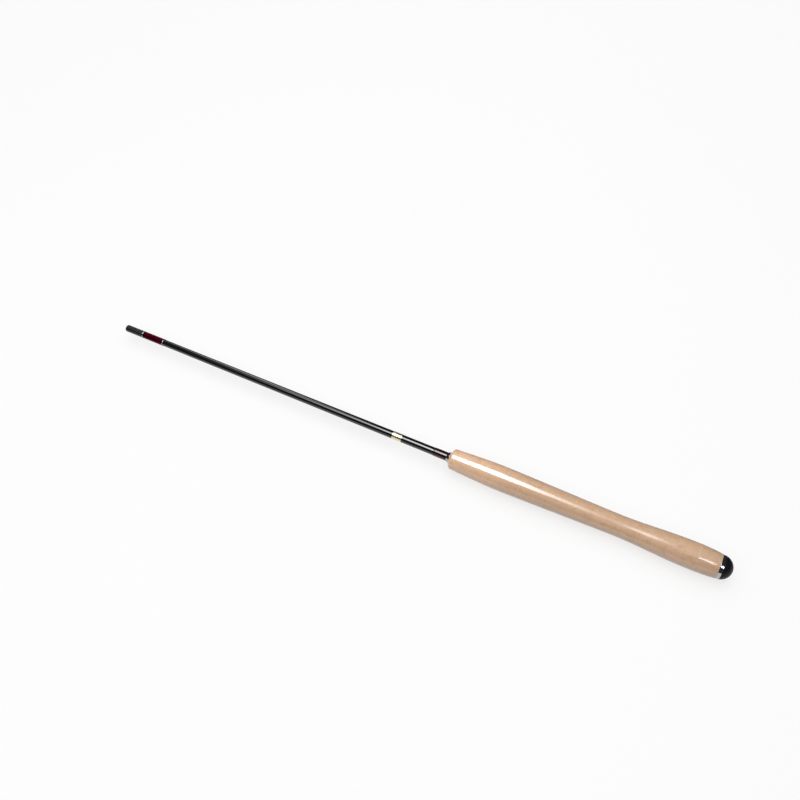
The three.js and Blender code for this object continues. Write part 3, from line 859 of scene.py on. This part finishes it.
class TENKARA_OT_cork_grip(bpy.types.Operator):
    """Adds the cork rings of the grip, glued face to face and turned to one contour"""

    bl_idname = "tenkara.cork_grip"
    bl_label = "Cork grip"

    # points of the contour, in millimetres: pairs are the setback from the grip's front and the radius
    nose, swell = (2.6, 5.7), (52.1, 11.1)
    shoulder, waist, belly, butt = 9.2, 9.35, 11.7, 10.4
    # the waist's share of the way from swell to land, and the length of the level land on the belly
    waist_share, land = 0.618, 6.3
    # how much of the fall to the waist and to the butt is straight, and how the rest of the second bends
    straight, rear_straight, rear_power = 0.7, 0.5, 3.5
    # slow waves in the varnish: lengths along the grip in millimetres, waves round it, and shares
    wave_lengths, wave_counts = (61.0, 34.0, 19.0, 11.0, 7.0), (1, 2, 3, 2, 4)
    wave_shares = (0.34, 0.26, 0.18, 0.12, 0.1)
    row_step = 0.42

    def contour(self, setback, grip_length):
        """Radius at a setback from the grip's front face.

        Over the nose it is the mean of a quarter wave and a straight line, and a quarter wave takes it
        up to the swell. The fall to the waist is mostly straight, with a share of half wave. A half
        wave takes it up to the belly's level land. Over the last ring it falls as a straight line plus
        a power of the share gone, so that it steepens towards the butt.
        """
        land_rear = (RINGS - 1) * RING_PITCH / MM
        land_front = land_rear - self.land
        (nose_at, nose), (swell_at, swell) = self.nose, self.swell
        waist_at = swell_at + (land_front - swell_at) * self.waist_share
        gone = passed(setback, 0, nose_at)
        radius = nose + (self.shoulder - nose) * (quarter_wave(gone) + gone) / 2
        radius = radius + (swell - self.shoulder) * quarter_wave(passed(setback, nose_at, swell_at))
        gone = passed(setback, swell_at, waist_at)
        fall = self.straight * gone + (1 - self.straight) * half_wave(gone)
        radius = radius + (self.waist - swell) * fall
        radius = radius + (self.belly - self.waist) * half_wave(passed(setback, waist_at, land_front))
        gone = passed(setback, land_rear, grip_length)
        fall = gone * self.rear_straight + gone**self.rear_power * (1 - self.rear_straight)
        return radius + (self.butt - self.belly) * fall

    def execute(self, context):
        varnished, handled = varnished_cork("varnished cork", 0.08), varnished_cork("handled cork", 0.2)
        detail = sizes()
        around = detail.around_grip
        angle = TURN * np.arange(around) / around
        grip_length = (ends(f"cork_ring_{RINGS}")[1] - GRIP_FRONT) / MM
        chance = np.random.default_rng(7)
        phases = chance.uniform(0, TURN, len(self.wave_lengths))
        nose_at = self.nose[0]
        for number in range(1, RINGS + 1):
            node = f"cork_ring_{number:02d}"
            front, rear, _, _ = ends(node)
            joined = rear if number == RINGS else front + RING_PITCH
            start = (front - GRIP_FRONT) / MM
            reach = (joined - front) / MM
            place = np.linspace(0, reach, int(reach / self.row_step) + 1)
            if number == 1:
                nose = nose_at * (1 - np.cos(np.linspace(0, math.pi / 2, 12)))
                place = np.concatenate([nose, place[place > nose_at + 0.1]])
            radius = self.contour(start + place, grip_length)[:, None] * np.ones(around)
            phase = TURN * (start + place)[:, None, None] / np.array(self.wave_lengths)
            phase = phase + np.array(self.wave_counts) * angle[None, :, None] + phases
            radius += (np.array(self.wave_shares) * np.sin(phase)).sum(-1) * detail.varnish_wave / MM
            pores = self.pores(chance, place, angle, radius)
            radius -= pores * detail.pore_depth / MM
            bore = self.bore(front, joined)
            along = np.concatenate([place * MM, bore[:, 0]])
            grid = np.vstack([radius * MM, all_round(bore, around)])
            piece = revolve(f"cork_turning_{number:02d}", front, along, grid, around)
            attribute = piece.data.attributes.new("pore", "FLOAT", "POINT")
            values = np.zeros(len(piece.data.vertices))
            values[: pores.size] = pores.ravel()
            attribute.data.foreach_set("value", values)
            # the palm rests on the last ring, and has dulled its varnish
            fit(piece, handled if number == RINGS else varnished, "butt", node)
        return {"FINISHED"}

    def pores(self, chance, place, angle, radius):
        """Hollows of the pores on the grid, from 0 to 1.

        Each is exp(-(u/a)^2 - (v/b)^2) about its own place, where u runs along the rod and v round it.
        Most are dots, and some are dashes along the rod.
        """
        # nine to sixteen a ring, a third of them dashes, with sizes in millimetres
        count = chance.integers(9, 17)
        centre_along = chance.uniform(0, place[-1], count)
        centre_angle = chance.uniform(0, TURN, count)
        dash = chance.random(count) < 0.35
        long_way = np.where(dash, chance.uniform(0.7, 1.7, count), chance.uniform(0.25, 0.5, count))
        short_way = chance.uniform(0.22, 0.4, count)
        depth = chance.uniform(0.35, 1.0, count)
        across = (angle[:, None] - centre_angle + math.pi) % TURN - math.pi
        across = across[None] * radius.mean()
        along = (place[:, None] - centre_along)[:, None, :]
        return (depth * np.exp(-((along / long_way) ** 2) - (across / short_way) ** 2)).max(-1)

    def bore(self, front, rear):
        """Rows of a ring's bore from rear to front, as (along, radius).

        It follows the blank's taper, and steps out where the threaded insert lies in the grip.
        """
        glue = sizes().glue_line
        step, wide = INSERT_FRONT - glue, INSERT_RADIUS + glue
        rows = []
        if rear > step:
            rows += [(rear - front, wide), (max(front, step) - front, wide)]
        if front < step:
            end = min(rear, step)
            rows += [(end - front, blank_radius(end) + glue), (0.0, blank_radius(front) + glue)]
        return np.array(rows, float)


class TENKARA_OT_butt_ring(bpy.types.Operator):
    """Adds the polished ring behind the cork"""

    bl_idname = "tenkara.butt_ring"
    bl_label = "Butt ring"

    def execute(self, context):
        front, rear, wide, _ = (value / MM for value in ends("butt_ring"))
        reach, soft = rear - front, 0.1
        bore = (INSERT_RADIUS + sizes().glue_line) / MM
        # the face is crowned: it falls by rear_drop x share^2 + front_drop x (1 - share)^2
        rear_drop, front_drop = 0.08, 0.016
        share = np.linspace(0.05, 0.95, 25)
        face = np.column_stack([reach * share, wide - rear_drop * share**2 - front_drop * (1 - share) ** 2])
        shape = outline(
            (0, bore),
            rounded(soft, wide - front_drop - soft, soft, 180, 100, 5),
            face,
            rounded(reach - soft, wide - rear_drop - soft, soft, 75, 0, 5),
            (reach, bore),
        )
        piece = revolve("polished_butt_ring", front * MM, shape[:, 0], shape[:, 1], sizes().around_grip)
        fit(piece, polished_steel(), "butt", "butt_ring")
        return {"FINISHED"}


class TENKARA_OT_threaded_insert(bpy.types.Operator):
    """Adds the insert in the grip's rear end, with its inner thread and the pocket for the seal"""

    bl_idname = "tenkara.threaded_insert"
    bl_label = "Threaded insert"

    def execute(self, context):
        detail = sizes()
        around = detail.around
        reach, outer = (INSERT_REAR - INSERT_FRONT) / MM, INSERT_RADIUS / MM
        crest = detail.screw_radius / MM
        # the socket takes the blank's rear end, and the thread runs from just behind it to the pocket
        socket, socket_floor = (BLANK_REAR_RADIUS + detail.glue_line) / MM, 12.2
        thread_front, thread_stop = 12.3, 0.25
        pocket, pocket_depth, pocket_floor = 5.91, 1.9, 0.3
        nose_round, heel_round, chamfer = 0.3, 0.1, 0.15
        shape = outline(
            rounded(nose_round, outer - nose_round, nose_round, 180, 90, 4),
            rounded(reach - heel_round, outer - heel_round, heel_round, 90, 0, 3),
            (reach, pocket + chamfer),
            (reach - chamfer, pocket),
            (reach - pocket_depth, pocket),
            (reach - pocket_depth, crest + pocket_floor),
        )
        # the ridges stand in the grooves of the cap's thread: 0.1 mm of room outside, 0.05 mm at their tops
        room, top_room = 0.1 * MM, 0.05 * MM
        thread = (INSERT_FRONT + thread_front * MM, INSERT_REAR - (pocket_depth + thread_stop) * MM)
        depth = detail.screw_depth - top_room
        place, grid = screw(*thread, detail.screw_radius + room, depth, around, width=1.6)
        bore = crest + room / MM
        tail = outline((socket_floor, bore), (socket_floor, socket), (0, socket))
        along = np.concatenate([shape[:, 0], place[::-1] - INSERT_FRONT, tail[:, 0]])
        grid = np.vstack([all_round(shape, around), grid[::-1], all_round(tail, around)])
        piece = revolve("insert_tube", INSERT_FRONT, along, grid, around)
        fit(piece, turned_aluminium(), "butt", "threaded_insert")
        return {"FINISHED"}


class TENKARA_OT_butt_cap(bpy.types.Operator):
    """Adds the domed screw cap with its threaded spigot, and the foam cushion in its cup"""

    bl_idname = "tenkara.butt_cap"
    bl_label = "Butt cap and cushion"

    def execute(self, context):
        detail = sizes()
        around = detail.around_grip
        front, rear, wide, _ = (value / MM for value in ends("butt_cap"))
        reach, height = rear - front, 7.9
        seat = reach - height
        # the neck behind the thread, and the cup in the spigot, whose floor is thick
        neck, neck_front, cup, cup_floor = 4.15, 11.8, 3.7, seat - 2.6
        sphere = (wide**2 + height**2) / (2 * height)
        # the rim's round: a circle inside the dome that touches the dome and the seat's face
        soft = 0.35
        rim_radius = math.sqrt((sphere - soft) ** 2 - (sphere - height + soft) ** 2)
        turn = math.degrees(math.atan2(rim_radius, sphere - height + soft))
        head = outline(
            (seat, neck),
            rounded(seat + soft, rim_radius, soft, 180, turn, 6),
            rounded(reach - sphere, 0, sphere, turn, 0, 40)[1:-1],
            (reach, 0),
        )
        crest, lead, stop = detail.screw_radius, 0.5 * MM, 0.1 * MM
        thread = (front * MM + lead, (front + neck_front) * MM - stop)
        place, grid = screw(*thread, crest, detail.screw_depth, around, width=2.2)
        lip, lip_chamfer, root = 0.2, 0.15, crest / MM - 0.5
        nose = outline((cup_floor, 0), (cup_floor, cup), (lip, cup), (0, cup + lip_chamfer), (0, root))
        waist = outline((neck_front, neck), (seat - 0.01, neck))
        along = np.concatenate([nose[:, 0], place - front * MM, waist[:, 0], head[:, 0]])
        grid = np.vstack([all_round(nose, around), grid, all_round(waist, around), all_round(head, around)])
        piece = revolve("domed_cap", front * MM, along, grid, around)
        fit(piece, cap_rubber(), "cap", "butt_cap")

        front, rear, wide, _ = (value / MM for value in ends("cushion_disc"))
        reach, front_round, rear_round = rear - front, 0.3, 0.1
        shape = outline(
            (0, 0),
            rounded(front_round, wide - front_round, front_round, 180, 90, 5),
            rounded(reach - rear_round, wide - rear_round, rear_round, 90, 0, 3),
            (reach, 0),
        )
        cushion = revolve("foam_cushion", front * MM, shape[:, 0], shape[:, 1], sizes().around)
        fit(cushion, cushion_foam(), "cap", "cushion_disc")
        return {"FINISHED"}


class TENKARA_OT_cap_seal(bpy.types.Operator):
    """Adds the seal, a ring of round rubber cord under the cap's head"""

    bl_idname = "tenkara.cap_seal"
    bl_label = "Cap seal"

    def execute(self, context):
        front, rear, wide, _ = ends("cap_seal")
        cord, steps = (rear - front) / 2, 20
        angle = math.pi - TURN * np.arange(steps) / steps
        along = cord + cord * np.cos(angle)
        radius = wide - cord + cord * np.sin(angle)
        piece = revolve("seal_cord", front, along, radius, sizes().around)
        fit(piece, seal_rubber(), "seal", "cap_seal")
        return {"FINISHED"}


class TENKARA_OT_stage(bpy.types.Operator):
    """Adds the floor, the lamps, the room's light and the camera"""

    bl_idname = "tenkara.stage"
    bl_label = "Studio"

    def execute(self, context):
        scene = context.scene
        settings = scene.stage_settings
        scene.view_settings.view_transform = "Standard"
        self.floor(settings)
        self.room(scene, settings)
        self.lamps(settings)
        self.card()
        data = bpy.data.cameras.new("camera")
        data.lens = settings.lens
        data.sensor_width = 36
        data.clip_start = 0.01
        eye = bpy.data.objects.new("camera", data)
        eye.location = settings.eye
        eye.rotation_euler = Euler(settings.aim, "XYZ")
        scene.collection.objects.link(eye)
        scene.camera = eye
        return {"FINISHED"}

    def lamps(self, settings):
        """The key light, which no mirror shows, and three softboxes that only mirrors show.

        The key hangs just above the main softbox: the first lights, and the varnish mirrors the second.
        """
        key = self.softbox("key light", (-0.15, -0.16, 1.25), width=1.8, depth=3.0, radiance=settings.key)
        key.visible_glossy = False
        bright = settings.softbox
        main = self.softbox("main softbox", (-0.36, -0.16, 1.2), width=1.16, depth=1.4, radiance=bright)
        # level across the softbox, from left to right
        across = ((0.06, 0.03), (0.2, 0.09), (0.33, 0.28), (0.45, 0.52), (0.55, 0.9))
        across += ((0.62, 1.0), (0.76, 1.0), (0.86, 0.46), (0.97, 0.08))
        self.fade(main.data, outside=0.5, inside=0.33, shift=0.16, stretch=0.6, steps=across)
        side = self.softbox("side softbox", (0.56, -0.62, 1.2), width=1.0, depth=1.0, radiance=bright * 0.8)
        self.fade(side.data, outside=0.19, inside=0.13)
        place, aim = (-0.8, 0.95, 1.05), (-0.17, 0, 0)
        rear = self.softbox("rear softbox", place, width=0.36, depth=0.9, radiance=bright * 0.28, aim=aim)
        for made in (main, side, rear):
            made.visible_diffuse = False

    def softbox(self, name, place, width, depth, radiance, aim=None):
        """A rectangular softbox, which faces down unless it is aimed."""
        aim = aim or (place[0], place[1], 0)
        data = bpy.data.lights.new(name, "AREA")
        data.energy = radiance * math.pi * width * depth
        data.shape = "RECTANGLE"
        data.size, data.size_y = width, depth
        made = bpy.data.objects.new(name, data)
        made.location = place
        made.rotation_euler = (Vector(aim) - Vector(place)).to_track_quat("-Z", "Y").to_euler()
        bpy.context.scene.collection.objects.link(made)
        return made

    def fade(self, data, outside, inside, shift=0.0, stretch=1.0, steps=((0.0, 1.0), (1.0, 1.0))):
        """Makes a softbox round and brighter in its middle.

        Its level is steps(u) x fall, with u from 0 at the left to 1 at the right. Fall goes from 1 to 0
        as the distance from the middle goes from inside to outside, in metres. The middle lies shift to
        the right of the lamp's own, and to its left the distance along X counts stretch times.
        """
        data.use_nodes = True
        tree = data.node_tree
        split = add(tree, "SeparateXYZ", add(tree, "NewGeometry").outputs["Parametric"]).outputs
        half, half_y = data.size / 2, data.size_y / 2
        right = add(tree, "MapRange", split["X"], 0, 1, -half - shift, half - shift)
        ahead = add(tree, "MapRange", split["Y"], 0, 1, -half_y, half_y)
        left = add(tree, "Math", right, -stretch, operation="MULTIPLY")
        aside = add(tree, "Math", right, left, operation="MAXIMUM")
        distance = add(tree, "VectorMath", add(tree, "CombineXYZ", aside, ahead), operation="LENGTH")
        fall = add(tree, "MapRange", distance, outside, inside, 0.0, 1.0)
        greys = tuple((place, (part, part, part, 1)) for place, part in steps)
        level = add(tree, "Math", add(tree, "ValToRGB", split["X"], stops=greys), fall, operation="MULTIPLY")
        fill(next(made for made in tree.nodes if made.type == "EMISSION").inputs["Strength"], level)

    def sheet(self, name, corners, faces, material):
        """Adds a flat piece of the stage."""
        mesh = bpy.data.meshes.new(name)
        mesh.from_pydata(corners, [], faces)
        mesh.materials.append(material)
        made = bpy.data.objects.new(name, mesh)
        bpy.context.scene.collection.objects.link(made)
        return made

    def card(self):
        """A matt dark card behind the rod, with its top bent over, which only reflections show.

        It gives the polished rings their dark edges.
        """
        half, near, far, top = 0.45, 0.036, 0.1, 0.03
        corners = [(-half, near, 0), (half, near, 0), (half, near, top), (-half, near, top)]
        corners += [(half, far, top), (-half, far, top)]
        material = bpy.data.materials.new("dark card")
        material.use_nodes = True
        shader = next(made for made in material.node_tree.nodes if made.type == "BSDF_PRINCIPLED")
        fill(shader.inputs["Base Color"], linear("#4A4A66"))
        fill(shader.inputs["Roughness"], 0.9)
        card = self.sheet("dark_card", corners, [(0, 1, 2, 3), (3, 2, 4, 5)], material)
        card.visible_camera = card.visible_diffuse = card.visible_shadow = card.visible_transmission = False

    def floor(self, settings):
        """A table just under the rod, its matt laminate pale and even.

        Seen directly, it is part white, so that only a light shadow shows, and it is all white away
        from the rod, where the lamps no longer reach it.
        """
        half, height = 8.0, -0.00005
        corners = [(-half, -half, height), (half, -half, height), (half, half, height), (-half, half, height)]
        # share of white near the rod, and the distances from it between which that grows to 1
        near_white, near, far = 0.72, 0.6, 1.8
        material = bpy.data.materials.new("pale table")
        material.use_nodes = True
        tree = material.node_tree
        tree.nodes.clear()
        rays = add(tree, "LightPath").outputs
        seen = add(tree, "Math", rays["Is Camera Ray"], rays["Is Glossy Ray"], operation="MAXIMUM")
        seen = add(tree, "Math", seen, rays["Is Transmission Ray"], operation="MAXIMUM")
        tint = add(tree, "Mix", seen, linear("#989898"), settings.floor, data_type="RGBA")
        place = add(tree, "TexCoord").outputs["Object"]
        away = add(tree, "VectorMath", place, operation="LENGTH")
        share = add(tree, "MapRange", away, near, far, near_white, 1.0)
        share = add(tree, "Math", seen, share, operation="MULTIPLY")
        white = add(tree, "Emission", (1, 1, 1, 1), 1.0)
        mixed = add(tree, "MixShader", share, add(tree, "BsdfDiffuse", tint), white)
        add(tree, "OutputMaterial", mixed)
        table = self.sheet("table", corners, [(0, 1, 2, 3)], material)

    def room(self, scene, settings):
        """White behind everything, a soft even fill, and for mirrors a pale wall under a dark ceiling."""
        world = bpy.data.worlds.new("studio")
        scene.world = world
        world.use_nodes = True
        tree = world.node_tree
        tree.nodes.clear()
        rays = add(tree, "LightPath").outputs
        height = add(tree, "SeparateXYZ", add(tree, "TexCoord").outputs["Generated"]).outputs["Z"]
        # the mirrored wall darkens upwards, and the fill is strongest overhead
        wall = add(tree, "MapRange", height, 0.0, 0.5, 0.08, 0.035)
        overhead = add(tree, "MapRange", height, 0.0, 1.0, settings.fill * 0.3, settings.fill * 1.36)
        lit, mirrored, white = (add(tree, "Background", (1, 1, 1, 1), level) for level in (overhead, wall, 1.0))
        lit = add(tree, "MixShader", rays["Is Glossy Ray"], lit, mirrored)
        seen = add(tree, "Math", rays["Is Camera Ray"], rays["Is Transmission Ray"], operation="MAXIMUM")
        add(tree, "OutputWorld", add(tree, "MixShader", seen, lit, white))


# Panel and registration

STEPS = (
    TENKARA_OT_stage,
    TENKARA_OT_top_plug,
    TENKARA_OT_butt_section,
    TENKARA_OT_nested_sections,
    TENKARA_OT_tip,
    TENKARA_OT_mouth_winding,
    TENKARA_OT_gold_band,
    TENKARA_OT_rear_winding,
    TENKARA_OT_winding_check,
    TENKARA_OT_cork_grip,
    TENKARA_OT_butt_ring,
    TENKARA_OT_threaded_insert,
    TENKARA_OT_butt_cap,
    TENKARA_OT_cap_seal,
)


class TENKARA_PT_rod(bpy.types.Panel):
    """Lists the rod's pieces and its studio"""

    bl_idname = "TENKARA_PT_rod"
    bl_label = "Tenkara rod"
    bl_space_type = "VIEW_3D"
    bl_region_type = "UI"
    bl_category = "Tenkara rod"

    def draw(self, context):
        for step in STEPS:
            self.layout.operator(step.bl_idname)


SETTINGS = {"rod_sizes": RodSizes, "rod_colours": RodColours, "stage_settings": StageSettings}


def register():
    """Registers the settings, the operators and the panel."""
    for group in (*SETTINGS.values(), *STEPS, TENKARA_PT_rod):
        bpy.utils.register_class(group)
    for name, group in SETTINGS.items():
        setattr(bpy.types.Scene, name, bpy.props.PointerProperty(type=group))


def unregister():
    """Takes back what register has done."""
    for name in SETTINGS:
        delattr(bpy.types.Scene, name)
    for group in reversed((*SETTINGS.values(), *STEPS, TENKARA_PT_rod)):
        bpy.utils.unregister_class(group)


def main():
    """Builds the studio and the rod."""
    register()
    for step in STEPS:
        getattr(bpy.ops.tenkara, step.bl_idname.split(".")[1])()
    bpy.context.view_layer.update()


if __name__ == "__main__":
    main()
